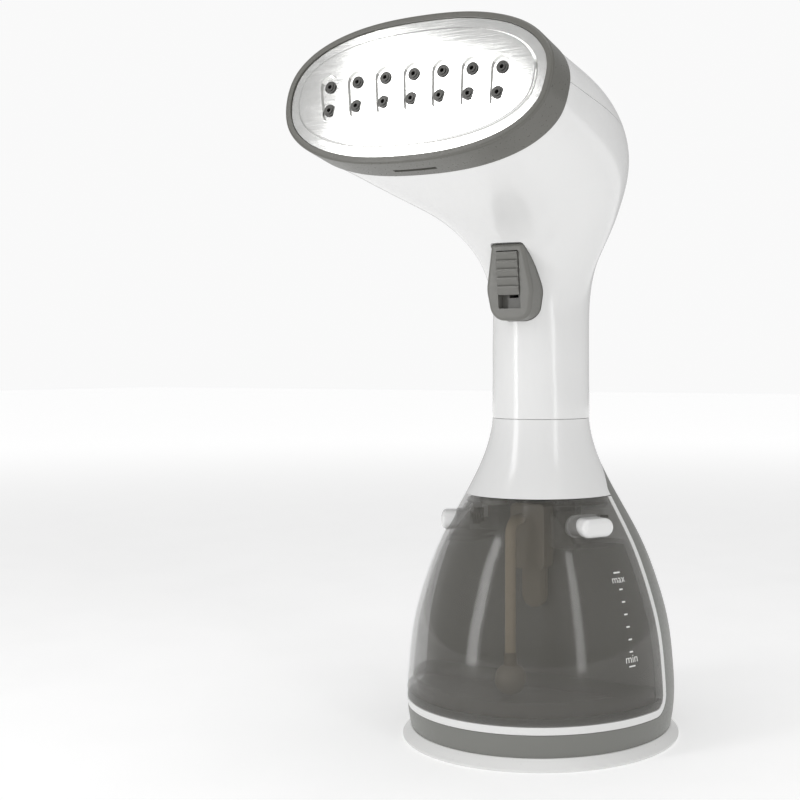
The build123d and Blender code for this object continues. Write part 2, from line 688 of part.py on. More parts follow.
fuse_route = [
    plate_point(16, 5.5, BLOCK_BACK - COVER_T - 4.2), plate_point(34, 5.5, BLOCK_BACK - COVER_T - 4.2),
]
thermal_fuse_body = Plane(origin=fuse_route[0], z_dir=Vector(*fuse_route[1]) - Vector(*fuse_route[0]))
with BuildPart() as thermal_fuse:
    with BuildSketch(thermal_fuse_body):
        Circle(2.0)
    extrude(amount=11)
    with BuildSketch(thermal_fuse_body.offset(-5)):
        Circle(0.6)
    extrude(amount=21)
thermal_fuse.part.label = "thermal_fuse"
export_step(thermal_fuse.part, "parts/thermal_fuse.step")

# ---------------------------------------------------------------- pump and hoses
PUMP_R = 7.0
PUMP_LOW = 143.0
PUMP_HIGH = 180.0
COIL_LOW = 150.5
COIL_HIGH = 167.5
NIPPLE_R = 2.2
HOSE_R = 3.4

with BuildPart() as pump_body:
    with BuildSketch(Plane.XY.offset(PUMP_LOW)):
        Circle(PUMP_R)
    extrude(amount=PUMP_HIGH - PUMP_LOW)
    with BuildSketch(Plane.XY.offset(PUMP_LOW - 6)):
        Circle(NIPPLE_R)
    extrude(amount=PUMP_HIGH - PUMP_LOW + 12)
    rims = pump_body.edges().filter_by(GeomType.CIRCLE)
    fillet(rims.filter_by(lambda rim: abs(rim.radius - PUMP_R) < 0.1), 1.0)
pump_body.part.label = "pump_body"
export_step(pump_body.part, "parts/pump_body.step")

with BuildPart() as pump_coil:
    with BuildSketch(Plane.XY.offset(COIL_LOW)):
        RectangleRounded(21, 25, 3)
        Circle(PUMP_R + 0.1, mode=Mode.SUBTRACT)
    extrude(amount=COIL_HIGH - COIL_LOW)
pump_coil.part.label = "pump_coil"
export_step(pump_coil.part, "parts/pump_coil.step")

with BuildPart() as pump_mounts:
    for low in (COIL_LOW - 3.4, COIL_HIGH + 0.2):
        with BuildSketch(Plane.XY.offset(low)):
            Rectangle(14.6, 30.6)
            Circle(PUMP_R + 0.1, mode=Mode.SUBTRACT)
        extrude(amount=3.2)
pump_mounts.part.label = "pump_mounts"
export_step(pump_mounts.part, "parts/pump_mounts.step")

SOCKET_END_Y = 13.0
water_path = [
    (0, SOCKET_END_Y - 5, COUPLING_Z), (0, 22, COUPLING_Z), (0, 22, 104), (0, 0, 120), (0, 0, PUMP_LOW - 0.2),
]
water_hose_part = rod(water_path, [7, 9, 12], HOSE_R, bore=NIPPLE_R + 0.1)
with BuildPart() as water_hose:
    add(water_hose_part)
water_hose.part.label = "water_hose"
export_step(water_hose.part, "parts/water_hose.step")

steam_inlet = plate_point(INLET_SPOT[0], INLET_SPOT[1], BLOCK_BACK - COVER_T - 0.3)
steam_outer = plate_point(INLET_SPOT[0], INLET_SPOT[1], BLOCK_BACK - COVER_T - 18)
steam_path = [(0, 0, PUMP_HIGH + 0.2), (0, 0, 212), (steam_outer[0], -20, 236), steam_outer, steam_inlet]
steam_hose_part = rod(steam_path, [14, 12, 9], HOSE_R, bore=NIPPLE_R + 0.3)
with BuildPart() as steam_hose:
    add(steam_hose_part)
steam_hose.part.label = "steam_hose"
export_step(steam_hose.part, "parts/steam_hose.step")

# ---------------------------------------------------------------- coupling behind the tank
NOZZLE_OUT_R = 4.0
SOCKET_BORE_R = 4.35
with BuildPart() as coupling_socket:
    with BuildSketch(Plane.XZ.offset(BULKHEAD_Y - 0.1)):
        with Locations((0, COUPLING_Z)):
            Circle(SOCKET_R)
    extrude(amount=-9.0)
    with BuildSketch(Plane.XZ.offset(-BULKHEAD_Y - 0.1)):
        with Locations((0, COUPLING_Z)):
            Circle(SOCKET_R + 3)
    extrude(amount=-2.0)
    with BuildSketch(Plane.XZ.offset(BULKHEAD_Y - 0.1)):
        with Locations((0, COUPLING_Z)):
            Circle(SOCKET_BORE_R)
    extrude(amount=-7.6, mode=Mode.SUBTRACT)
    with BuildSketch(Plane.XZ.offset(-SOCKET_END_Y + 6)):
        with Locations((0, COUPLING_Z)):
            Circle(NIPPLE_R)
    extrude(amount=-6.0)
coupling_socket.part.label = "coupling_socket"
export_step(coupling_socket.part, "parts/coupling_socket.step")

# ---------------------------------------------------------------- switch pod and slider
FACE_LEAN = 0.10         # the pod's face comes forward by this much per unit of height
FACE_Y = -28.2           # the face's place at FACE_Z
FACE_Z = 180.0
WINDOW_Z = (180.1, 203.7)
WINDOW_W = 10.4
WELL_Y = -24.4           # floor of the well that the slider runs in
SLIDER_W = 9.8
SLIDER_Z = (185.7, 203.2)
RIDGES = 5
STEM_W = 3.4
STEM_Z = (190.0, 198.0)

face_direction = Vector(0, -1, -FACE_LEAN).normalized()
face_plane = Plane(origin=(0, FACE_Y, FACE_Z), x_dir=(1, 0, 0), z_dir=face_direction)


def face_y(height):
    """Y of the pod's leaning face at a height."""
    return FACE_Y - FACE_LEAN * (height - FACE_Z)


with BuildPart() as switch_pod:
    with BuildSketch(Plane.XZ.offset(-POD_BACK_Y)):
        pod_outline(0)
    extrude(amount=20)
    split(bisect_by=face_plane, keep=Keep.BOTTOM)
    fillet(switch_pod.faces().sort_by(Axis.Y)[0].edges(), 1.6)
    with BuildSketch(Plane.XZ.offset(-WELL_Y)):
        with Locations((0, sum(WINDOW_Z) / 2)):
            RectangleRounded(WINDOW_W, WINDOW_Z[1] - WINDOW_Z[0], 0.6)
    extrude(amount=20, mode=Mode.SUBTRACT)
    with BuildSketch(Plane.XZ.offset(-POD_BACK_Y)):
        with Locations((0, (STEM_Z[0] - SWITCH_TRAVEL + STEM_Z[1]) / 2)):
            Rectangle(STEM_W + 0.8, STEM_Z[1] - STEM_Z[0] + SWITCH_TRAVEL + 0.8)
    extrude(amount=10, mode=Mode.SUBTRACT)
switch_pod.part.label = "switch_pod"
export_step(switch_pod.part, "parts/switch_pod.step")

ridge_pitch = (SLIDER_Z[1] - SLIDER_Z[0]) / RIDGES
with BuildPart() as slide_switch:
    with BuildSketch(Plane.YZ):
        outline = [(WELL_Y - 0.4, SLIDER_Z[0]), (WELL_Y - 0.4, SLIDER_Z[1])]
        for ridge in range(RIDGES):
            top = SLIDER_Z[1] - ridge * ridge_pitch
            outline.append((face_y(top) - 0.9, top))
            outline.append((face_y(top) - 1.1, top - 0.9))
            outline.append((face_y(top) + 0.2, top - ridge_pitch))
        with BuildLine():
            Polyline(*outline, close=True)
        make_face()
    extrude(amount=SLIDER_W / 2, both=True)
    with BuildSketch(Plane.XZ.offset(-POD_BACK_Y - 1)):
        with Locations((0, sum(STEM_Z) / 2)):
            Rectangle(STEM_W, STEM_Z[1] - STEM_Z[0])
    extrude(amount=POD_BACK_Y + 1 - WELL_Y + 1.4)
slide_switch.part.label = "slide_switch"
export_step(slide_switch.part, "parts/slide_switch.step")

with BuildPart() as microswitch:
    with BuildSketch(Plane.XZ.offset(15.8)):
        with Locations((0, 193)):
            Rectangle(6.4, 20)
    extrude(amount=-9.6)
    with BuildSketch(Plane.XZ.offset(15.8)):
        with Locations((0, 187)):
            Rectangle(3.4, 8)
    extrude(amount=0.9)
microswitch.part.label = "microswitch"
export_step(microswitch.part, "parts/microswitch.step")

# ---------------------------------------------------------------- electronics and cord inlet
BOARD_Y = 24.0
BOARD_T = 1.6
with BuildPart() as circuit_board:
    with BuildSketch(Plane.XZ.offset(-BOARD_Y)):
        with Locations((0, 53)):
            Rectangle(52, 46)
        with Locations((-22, 34), (22, 34), (-22, 72), (22, 72)):
            Circle(1.6, mode=Mode.SUBTRACT)
    extrude(amount=BOARD_T)
circuit_board.part.label = "circuit_board"
export_step(circuit_board.part, "parts/circuit_board.step")

# Relay, capacitor, heat sink and terminal block, each standing on the board.
with BuildPart() as board_components:
    with BuildSketch(Plane.XZ.offset(-BOARD_Y)):
        with Locations((-13, 60)):
            Rectangle(15, 19)
        with Locations((10, 64)):
            Circle(6.2)
        with Locations((12, 44)):
            Rectangle(18, 10)
        with Locations((-12, 40)):
            Rectangle(20, 8)
    extrude(amount=-9.0)
board_components.part.label = "board_components"
export_step(board_components.part, "parts/board_components.step")

INLET_BORE_R = 3.5
GLAND_END_Y = 58.8
with BuildPart() as cord_gland:
    with BuildSketch(Plane.XZ.offset(-46.8)):
        with Locations((0, INLET_Z)):
            Circle(INLET_R - 0.1)
    extrude(amount=-(GLAND_END_Y - 46.8))
    with BuildSketch(Plane.XZ.offset(-57.2)):
        with Locations((0, INLET_Z)):
            Circle(INLET_R + 1.8)
    extrude(amount=-(GLAND_END_Y - 57.2))
    fillet(cord_gland.faces().sort_by(Axis.Y)[-1].edges(), 0.6)
    with BuildSketch(Plane.XZ.offset(-46.8)):
        with Locations((0, INLET_Z)):
            Circle(INLET_BORE_R)
    extrude(amount=-20, mode=Mode.SUBTRACT)
cord_gland.part.label = "cord_gland"
export_step(cord_gland.part, "parts/cord_gland.step")

CLAMP_Y = 40.0
FLOOR_TOP = REAR_FLOOR_Z + TRIM
with BuildPart() as cord_clamp:
    with BuildSketch(Plane.XZ.offset(-CLAMP_Y)):
        with Locations((0, FLOOR_TOP + 0.1)):
            Rectangle(26, 6.5, align=(Align.CENTER, Align.MIN))
        with Locations((0, FLOOR_TOP + 0.1)):
            Circle(3.4, mode=Mode.SUBTRACT)
    extrude(amount=4, both=True)
    with BuildSketch(Plane.XY.offset(FLOOR_TOP)):
        with Locations((-9.5, CLAMP_Y), (9.5, CLAMP_Y)):
            Circle(SHANK_R + 0.1)
    extrude(amount=10, mode=Mode.SUBTRACT)
cord_clamp.part.label = "cord_clamp"
export_step(cord_clamp.part, "parts/cord_clamp.step")

with BuildPart() as clamp_screws:
    with BuildSketch(Plane.XY.offset(FLOOR_TOP + 6.7)):
        with Locations((-9.5, CLAMP_Y), (9.5, CLAMP_Y)):
            Circle(SCREW_HEAD_R)
    extrude(amount=1.6)
    with BuildSketch(Plane.XY.offset(FLOOR_TOP + 0.1)):
        with Locations((-9.5, CLAMP_Y), (9.5, CLAMP_Y)):
            Circle(SHANK_R)
    extrude(amount=6.7)
clamp_screws.part.label = "clamp_screws"
export_step(clamp_screws.part, "parts/clamp_screws.step")

WIRE_R = 1.2
harness_parts = []
for side in (-1, 1):
    harness_parts.append(rod(
        [
            (side * 20, BOARD_Y - 3.5, 76), (side * 17.5, 14, 96), (side * 14.6, 4, 116),
            (side * 14.6, -1, 138), (side * 15.8, -1, 190), (side * 17, -14, 214), (side * 26, -58, 240),
        ],
        [24, 24, 24, 24, 16], WIRE_R,
    ))
with BuildPart() as wiring_harness:
    for harness_part in harness_parts:
        add(harness_part)
wiring_harness.part.label = "wiring_harness"
export_step(wiring_harness.part, "parts/wiring_harness.step")

# ---------------------------------------------------------------- water tank
TANK_REAR_Y = -BULKHEAD_Y - TANK_GAP
TANK_CORNER_R = TRIM_CORNER_R - TRIM - TANK_GAP
BASE_SEAM_Z = TANK_FLOOR_Z + 3.2
LIP_TOP_Z = 25.5
FILLER_SPOT = (-15.0, -14.0)
FILLER_R = 6.0
BARB_X = -3.0
HOSE_Y = -22.0


def tank_region(rear_inset, floor_inset, high):
    """Side view of the tank, moved inwards at its rear wall and raised at its floor."""
    rear = TANK_REAR_Y - rear_inset
    floor = TANK_FLOOR_Z + floor_inset
    corners = [(-REACH, floor), (rear, floor), (rear, high), (-REACH, high)]
    return corners, [0, TANK_CORNER_R - rear_inset, 0, 0]


LIP_OUT = WALL + 0.1
LIP_IN = WALL + 1.6
tank_outer = bell_block(*tank_region(0, 0, TANK_TOP_Z))
tank_cavity = bell_block(*tank_region(WALL, WALL, TANK_TOP_Z - WALL), outer=WALL)
lip_outer = bell_block(*tank_region(LIP_OUT, LIP_OUT, LIP_TOP_Z), outer=LIP_OUT)
lip_root = bell_block(*tank_region(TANK_CORNER_R, WALL - 0.8, BASE_SEAM_Z), outer=LIP_OUT)
lip_inner = bell_block(*tank_region(LIP_IN, WALL, TANK_TOP_Z), outer=LIP_IN)

# A dry pocket at each upper rear corner holds a latch button. It is open to the rear.
POCKET_X = 20.0
POCKET_FRONT_Y = -25.5
POCKET_HALF_H = 6.2
POCKET_WALL = 1.8
BUTTON_L = 15.5
BUTTON_H = 7.6
BUTTON_FACE_R = 42.6
FLANGE_R = 31.5          # distance of the button's flange from the axis


def corner_box(margin):
    """Box round each latch pocket, larger by a margin, on both sides of the tank."""
    with BuildPart() as boxes:
        for side in (-1, 1):
            with BuildSketch(Plane.XY.offset(BUTTON_Z - POCKET_HALF_H - margin)):
                with BuildLine():
                    Polyline(
                        (side * (POCKET_X - margin), TANK_REAR_Y),
                        (side * (POCKET_X - margin), POCKET_FRONT_Y - margin),
                        (side * 60, POCKET_FRONT_Y - margin),
                        (side * 60, TANK_REAR_Y),
                        close=True,
                    )
                make_face()
            extrude(amount=2 * (POCKET_HALF_H + margin))
    return boxes.part


def button_plane(side, distance):
    """Plane across a button's axis, at a distance from the bell's axis, facing outwards."""
    outwards = Vector(side * math.sin(BUTTON_ANGLE), -math.cos(BUTTON_ANGLE), 0)
    spot = outwards * distance + Vector(0, 0, BUTTON_Z)
    return Plane(origin=spot, x_dir=(-outwards.Y, outwards.X, 0), z_dir=outwards)


pocket_outer = corner_box(POCKET_WALL)
pocket_inner = corner_box(0)
pocket_limit = bell_solid(WALL)
with BuildPart() as pocket_walls:
    add(pocket_outer)
    add(tank_outer, mode=Mode.INTERSECT)
with BuildPart() as pocket_space:
    add(pocket_inner)
    add(tank_outer, mode=Mode.INTERSECT)
    add(pocket_limit, mode=Mode.INTERSECT)

with BuildPart() as water_tank:
    add(tank_outer)
    add(tank_cavity, mode=Mode.SUBTRACT)
    add(pocket_walls.part)
    add(pocket_space.part, mode=Mode.SUBTRACT)
    split(bisect_by=Plane.XY.offset(BASE_SEAM_Z + 0.1), keep=Keep.TOP)
    for side in (-1, 1):
        with BuildSketch(button_plane(side, FLANGE_R)):
            SlotOverall(BUTTON_L + 0.8, BUTTON_H + 0.8)
        extrude(amount=20, mode=Mode.SUBTRACT)
    with BuildSketch(Plane.XY.offset(TANK_TOP_Z - 10)):
        with Locations(FILLER_SPOT):
            Circle(FILLER_R)
    extrude(amount=20, mode=Mode.SUBTRACT)
    with BuildSketch(Plane.XZ.offset(0)):
        with Locations((0, COUPLING_Z)):
            Circle(NOZZLE_OUT_R + 0.1)
    extrude(amount=10, mode=Mode.SUBTRACT)
water_tank.part.label = "water_tank"
export_step(water_tank.part, "parts/water_tank.step")

with BuildPart() as tank_base:
    add(tank_outer)
    add(tank_cavity, mode=Mode.SUBTRACT)
    split(bisect_by=Plane.XY.offset(BASE_SEAM_Z), keep=Keep.BOTTOM)
    add(lip_outer)
    add(lip_root)
    add(lip_inner, mode=Mode.SUBTRACT)
tank_base.part.label = "tank_base"
export_step(tank_base.part, "parts/tank_base.step")

OUTLET_HALF_W = 8.0
OUTLET_Z = (71.0, 98.5)
OUTLET_T = 8.5
TONGUE_HALF_W = 5.5
TONGUE_LOW = 54.0
BARB_Z = 92.0
INNER_REAR_Y = TANK_REAR_Y - WALL
with BuildPart() as tank_outlet:
    with BuildSketch(Plane.XZ.offset(-INNER_REAR_Y)):
        with Locations((0, sum(OUTLET_Z) / 2)):
            RectangleRounded(2 * OUTLET_HALF_W, OUTLET_Z[1] - OUTLET_Z[0], 2.5)
    extrude(amount=OUTLET_T)
    with BuildSketch(Plane.XZ.offset(-INNER_REAR_Y)):
        with Locations((0, (TONGUE_LOW + OUTLET_Z[0] + 6) / 2)):
            SlotOverall(OUTLET_Z[0] + 6 - TONGUE_LOW, 2 * TONGUE_HALF_W, rotation=90)
    extrude(amount=2.6)
    with BuildSketch(Plane.XZ.offset(-INNER_REAR_Y)):
        with Locations((0, COUPLING_Z)):
            Circle(NOZZLE_OUT_R)
    extrude(amount=-9.6)
    with BuildSketch(Plane.XZ.offset(-INNER_REAR_Y + OUTLET_T)):
        with Locations((BARB_X, BARB_Z)):
            Circle(1.5)
    extrude(amount=4)
    with BuildSketch(Plane.XZ.offset(-INNER_REAR_Y - 9.6)):
        with Locations((0, COUPLING_Z)):
            Circle(2.0)
    extrude(amount=14, mode=Mode.SUBTRACT)
tank_outlet.part.label = "tank_outlet"
export_step(tank_outlet.part, "parts/tank_outlet.step")

ORING_Y = 2.6
with BuildPart() as outlet_oring:
    with BuildSketch(Plane.XZ.offset(-ORING_Y)):
        with Locations((0, COUPLING_Z)):
            Circle(SOCKET_BORE_R - 0.06)
            Circle(NOZZLE_OUT_R + 0.01, mode=Mode.SUBTRACT)
    extrude(amount=-1.6)
outlet_oring.part.label = "outlet_oring"
export_step(outlet_oring.part, "parts/outlet_oring.step")

BALL_R = 6.5
BALL_Z = TANK_FLOOR_Z + WALL + BALL_R + 0.3
SUCTION_R = 2.25
suction_path = [
    (BARB_X, INNER_REAR_Y - OUTLET_T - 0.1, BARB_Z), (BARB_X, HOSE_Y, BARB_Z),
    (BARB_X, HOSE_Y, BALL_Z + BALL_R + 4.6),
]
suction_part = rod(suction_path, 6.0, SUCTION_R, bore=1.55)
with BuildPart() as suction_hose:
    add(suction_part)
suction_hose.part.label = "suction_hose"
export_step(suction_hose.part, "parts/suction_hose.step")

with BuildPart() as filter_weight:
    with Locations((BARB_X, HOSE_Y, BALL_Z)):
        Sphere(BALL_R)
        Cylinder(2.6, BALL_R + 4.5, align=(Align.CENTER, Align.CENTER, Align.MIN))
        Cylinder(1.4, BALL_R + 7.5, align=(Align.CENTER, Align.CENTER, Align.MIN))
    with BuildSketch(Plane.XY.offset(BALL_Z + 4)):
        with Locations((BARB_X, HOSE_Y)):
            Circle(0.8)
    extrude(amount=20, mode=Mode.SUBTRACT)
filter_weight.part.label = "filter_weight"
export_step(filter_weight.part, "parts/filter_weight.step")

PLUG_CAP_T = 1.0
with BuildPart() as filler_plug:
    with BuildSketch(Plane.XY.offset(TANK_TOP_Z - WALL - 2)):
        with Locations(FILLER_SPOT):
            Circle(FILLER_R - 0.1)
            Circle(FILLER_R - 1.6, mode=Mode.SUBTRACT)
    extrude(amount=WALL + 1.2)
    with BuildSketch(Plane.XY.offset(TANK_TOP_Z - PLUG_CAP_T)):
        with Locations(FILLER_SPOT):
            Circle(FILLER_R - 0.1)
    extrude(amount=PLUG_CAP_T)
filler_plug.part.label = "filler_plug"
export_step(filler_plug.part, "parts/filler_plug.step")

# ---------------------------------------------------------------- latch buttons and springs
ARM_X = 30.5             # middle of the arm that reaches back through the frame's window
ARM_W = 1.8
ARM_START_Y = -12.0
ARM_END_Y = 3.2
SPRING_R = 2.2
SPRING_WIRE = 0.3
SPRING_INNER_R = 25.6    # distance of the spring's inner end from the axis

for side, name in ((1, "latch_button_right"), (-1, "latch_button_left")):
    with BuildPart() as latch_button:
        with BuildSketch(button_plane(side, FLANGE_R)):
            SlotOverall(BUTTON_L, BUTTON_H)
        extrude(amount=BUTTON_FACE_R - FLANGE_R)
        fillet(latch_button.faces().sort_by(Axis((0, 0, 0), button_plane(side, 0).z_dir))[-1].edges(), 2.2)
        with BuildSketch(button_plane(side, FLANGE_R)):
            SlotOverall(BUTTON_L + 1.6, BUTTON_H + 1.6)
        extrude(amount=-1.2)
        with BuildSketch(Plane.XZ.offset(-ARM_START_Y)):
            with Locations((side * ARM_X, BUTTON_Z)):
                Rectangle(ARM_W, 4.0)
        extrude(amount=ARM_START_Y - ARM_END_Y)
    latch_button.part.label = name
    export_step(latch_button.part, f"parts/{name}.step")

for side, name in ((1, "latch_spring_right"), (-1, "latch_spring_left")):
    inner_end = button_plane(side, SPRING_INNER_R)
    with BuildPart() as latch_spring:
        with BuildLine() as coil:
            Helix(
                pitch=1.2, height=FLANGE_R - 1.8 - SPRING_INNER_R, radius=SPRING_R,
                center=inner_end.origin, direction=inner_end.z_dir,
            )
        with BuildSketch(Plane(origin=coil.line @ 0, z_dir=coil.line % 0)):
            Circle(SPRING_WIRE)
        sweep(path=coil.line, is_frenet=True)
    latch_spring.part.label = name
    export_step(latch_spring.part, f"parts/{name}.step")
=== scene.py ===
import json
import math
import bmesh
import bpy
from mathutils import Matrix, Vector


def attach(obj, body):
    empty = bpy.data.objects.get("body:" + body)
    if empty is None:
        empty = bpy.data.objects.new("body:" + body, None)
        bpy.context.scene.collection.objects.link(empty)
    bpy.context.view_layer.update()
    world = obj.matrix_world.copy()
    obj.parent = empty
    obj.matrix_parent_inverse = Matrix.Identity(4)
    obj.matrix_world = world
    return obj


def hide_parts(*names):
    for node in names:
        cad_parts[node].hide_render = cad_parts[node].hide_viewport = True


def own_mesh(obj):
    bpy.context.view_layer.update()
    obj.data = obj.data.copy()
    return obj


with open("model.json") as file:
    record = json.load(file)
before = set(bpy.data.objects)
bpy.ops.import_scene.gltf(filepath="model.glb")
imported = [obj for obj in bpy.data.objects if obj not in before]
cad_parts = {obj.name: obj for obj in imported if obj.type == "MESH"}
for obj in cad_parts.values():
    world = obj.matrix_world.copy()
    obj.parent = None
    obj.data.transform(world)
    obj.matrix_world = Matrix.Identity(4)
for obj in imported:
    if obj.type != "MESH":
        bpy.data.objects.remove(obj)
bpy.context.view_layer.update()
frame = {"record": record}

# Handheld garment steamer. Metres, +Z up, steam plate towards -Y, in the row frame.
MM = 0.001

# ------------------------------------------------------------------ materials


def principled(name):
    """A material and its shader, with an Object coordinate to drive the detail."""
    material = bpy.data.materials.new(name)
    material.use_nodes = True
    nodes = material.node_tree.nodes
    shader = nodes["Principled BSDF"]
    coordinate = nodes.new("ShaderNodeTexCoord")
    return material, nodes, material.node_tree.links, shader, coordinate


def noise(nodes, links, coordinate, scale, detail=3.0, stretch=(1, 1, 1)):
    """Noise over the object, stretched along the axes given."""
    mapping = nodes.new("ShaderNodeMapping")
    mapping.inputs["Scale"].default_value = stretch
    links.new(coordinate.outputs["Object"], mapping.inputs["Vector"])
    texture = nodes.new("ShaderNodeTexNoise")
    texture.inputs["Scale"].default_value = scale
    texture.inputs["Detail"].default_value = detail
    links.new(mapping.outputs["Vector"], texture.inputs["Vector"])
    return texture.outputs["Fac"]


def spread(nodes, links, fac, low, high):
    """The noise's middle range, as a value from low to high."""
    ranged = nodes.new("ShaderNodeMapRange")
    ranged.inputs["From Min"].default_value = 0.3
    ranged.inputs["From Max"].default_value = 0.7
    ranged.inputs["To Min"].default_value = low
    ranged.inputs["To Max"].default_value = high
    links.new(fac, ranged.inputs["Value"])
    return ranged.outputs["Result"]


def tinted(nodes, links, fac, color, change):
    """A colour that varies by a share of itself with the noise."""
    mix = nodes.new("ShaderNodeMix")
    mix.data_type = "RGBA"
    mix.inputs["A"].default_value = (*[c * (1 - change) for c in color], 1)
    mix.inputs["B"].default_value = (*[min(1, c * (1 + change)) for c in color], 1)
    links.new(fac, mix.inputs["Factor"])
    return mix.outputs["Result"]


def surface(name, color, rough, metallic=0.0, coat=0.0, change=0.03, grain=900.0, bump=0.05,
            stretch=(1, 1, 1), specular=0.5, alpha=1.0):
    """A moulded or drawn surface: soft colour drift, uneven gloss and a fine grain."""
    material, nodes, links, shader, coordinate = principled(name)
    drift = noise(nodes, links, coordinate, 35.0)
    fine = noise(nodes, links, coordinate, grain, 4.0, stretch)
    links.new(tinted(nodes, links, drift, color, change), shader.inputs["Base Color"])
    links.new(spread(nodes, links, fine, rough * 0.8, rough * 1.2), shader.inputs["Roughness"])
    shader.inputs["Metallic"].default_value = metallic
    shader.inputs["Coat Weight"].default_value = coat
    shader.inputs["Coat Roughness"].default_value = 0.06
    shader.inputs["Specular IOR Level"].default_value = specular
    shader.inputs["Alpha"].default_value = alpha
    height = nodes.new("ShaderNodeBump")
    height.inputs["Strength"].default_value = bump
    height.inputs["Distance"].default_value = 0.0002
    links.new(fine, height.inputs["Height"])
    links.new(height.outputs["Normal"], shader.inputs["Normal"])
    return material


GLOSS_WHITE = (0.83, 0.83, 0.825)
looks = {
    "white_gloss": surface("white_gloss", GLOSS_WHITE, 0.2, coat=0.25, change=0.01, bump=0.02),
    "white_satin": surface("white_satin", (0.8, 0.8, 0.79), 0.34, change=0.015, bump=0.04),
    "collar_grey": surface("collar_grey", (0.125, 0.123, 0.11), 0.32, change=0.03, bump=0.012),
    "pod_grey": surface("pod_grey", (0.17, 0.168, 0.155), 0.36, change=0.03, bump=0.015),
    "shell_grey": surface("shell_grey", (0.2, 0.202, 0.187), 0.36, change=0.03, bump=0.015),
    "vent_dark": surface("vent_dark", (0.012, 0.012, 0.012), 0.5),
    "plate_steel": surface(
        "plate_steel", (0.88, 0.88, 0.865), 0.11, metallic=1.0, change=0.015, grain=60.0,
        bump=0.03, stretch=(1, 40, 40),
    ),
    "nozzle_grey": surface("nozzle_grey", (0.075, 0.074, 0.07), 0.28, metallic=0.6, change=0.1),
    "gasket": surface("gasket", (0.32, 0.06, 0.04), 0.5),
    "heater_alloy": surface("heater_alloy", (0.5, 0.5, 0.51), 0.42, metallic=1.0, change=0.1, bump=0.3),
    "element_steel": surface("element_steel", (0.35, 0.34, 0.33), 0.35, metallic=1.0, change=0.1),
    "screw_steel": surface("screw_steel", (0.55, 0.55, 0.56), 0.28, metallic=1.0, change=0.06),
    "foot_rubber": surface("foot_rubber", (0.52, 0.52, 0.5), 0.7, change=0.06, bump=0.2),
    "tank_trim": surface("tank_trim", (0.3, 0.26, 0.2), 0.4, change=0.04),
    "hose": surface("hose", (0.6, 0.5, 0.36), 0.35, coat=0.15, change=0.04),
    "spring_steel": surface("spring_steel", (0.6, 0.6, 0.6), 0.22, metallic=1.0),
    "pump_plastic": surface("pump_plastic", (0.68, 0.67, 0.6), 0.4),
    "coil": surface("coil", (0.36, 0.09, 0.02), 0.35, change=0.15, grain=120.0, bump=0.6, stretch=(1, 1, 30)),
    "board": surface("board", (0.01, 0.09, 0.03), 0.35, change=0.2),
    "parts_black": surface("parts_black", (0.015, 0.015, 0.015), 0.4),
    "wire": surface("wire", (0.02, 0.02, 0.025), 0.4),
    "thermal": surface("thermal", (0.5, 0.46, 0.38), 0.35, metallic=1.0, change=0.08),
    "tank_smoke": surface(
        "tank_smoke", (0.13, 0.124, 0.108), 0.1, coat=0.6, change=0.03, grain=60.0, bump=0.002,
        specular=0.6, alpha=0.34,
    ),
    "level_print": surface("level_print", (0.78, 0.78, 0.76), 0.5, change=0.03),
}

slots = {row["node"]: row["material_slot"] for row in frame["record"]["subparts"]}
for node, slot in slots.items():
    piece = bpy.data.objects.get(node)
    if piece is None:
        continue
    piece.data.materials.clear()
    piece.data.materials.append(looks[slot])

for side, name in ((1, "right"), (-1, "left")):
    node = f"latch_spring_{name}"
    spring = bpy.data.objects.new(f"spring_{name}", bpy.data.objects[node].data.copy())
    bpy.context.scene.collection.objects.link(spring)
    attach(spring, "tank")
    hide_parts(node)
    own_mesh(spring)

# ------------------------------------------------------------------ level marks
# Radius and height of the tank's outer wall, in millimetres.
BELL = [
    (55.4, 4.8), (57.1, 18.0), (56.6, 30.0), (54.4, 48.4), (49.9, 65.0), (43.3, 82.0), (36.4, 95.0),
]
MARK_ANGLE = math.radians(67.5)       # from straight ahead, towards +X
MARK_TOP_Z = 73.4
MARK_LOW_Z = 37.4
MARK_W = 3.4
MARK_T = 0.6
PROUD = 0.06                          # how far the print stands off the wall
TICKS = 6


def bell_radius(height):
    """Radius of the tank wall at a height, between the outline's points."""
    for (r0, z0), (r1, z1) in zip(BELL, BELL[1:]):
        if z0 <= height <= z1:
            share = (height - z0) / (z1 - z0)
            return r0 + (r1 - r0) * share
    return BELL[-1][0]


def on_wall(across, height):
    """Place on the tank's wall, across and up from the marks' own line, in millimetres."""
    radius = bell_radius(height) + PROUD + 0.25
    angle = MARK_ANGLE + across / radius
    return Vector((radius * math.sin(angle), -radius * math.cos(angle), height)) * MM


marks = bmesh.new()


def strip(centre, height, width, thick, parts=6):
    """A printed bar that bends with the wall."""
    rows = []
    for step in range(parts + 1):
        across = centre + width * (step / parts - 0.5)
        rows.append([marks.verts.new(on_wall(across, height + rise)) for rise in (-thick / 2, thick / 2)])
    for (a, b), (c, d) in zip(rows, rows[1:]):
        marks.faces.new((a, c, d, b))


def word(text, size, height):
    """A printed word that bends with the wall."""
    curve = bpy.data.curves.new(text, "FONT")
    curve.body = text
    curve.align_x = "CENTER"
    curve.align_y = "CENTER"
    curve.size = size
    curve.resolution_u = 3
    lettering = bpy.data.objects.new(text, curve)
    bpy.context.scene.collection.objects.link(lettering)
    bpy.context.view_layer.update()
    mesh = bpy.data.meshes.new_from_object(lettering)
    made = [marks.verts.new(on_wall(v.co.x, height + v.co.y)) for v in mesh.vertices]
    for face in mesh.polygons:
        marks.faces.new([made[index] for index in face.vertices])
    bpy.data.objects.remove(lettering)
    bpy.data.meshes.remove(mesh)
    bpy.data.curves.remove(curve)


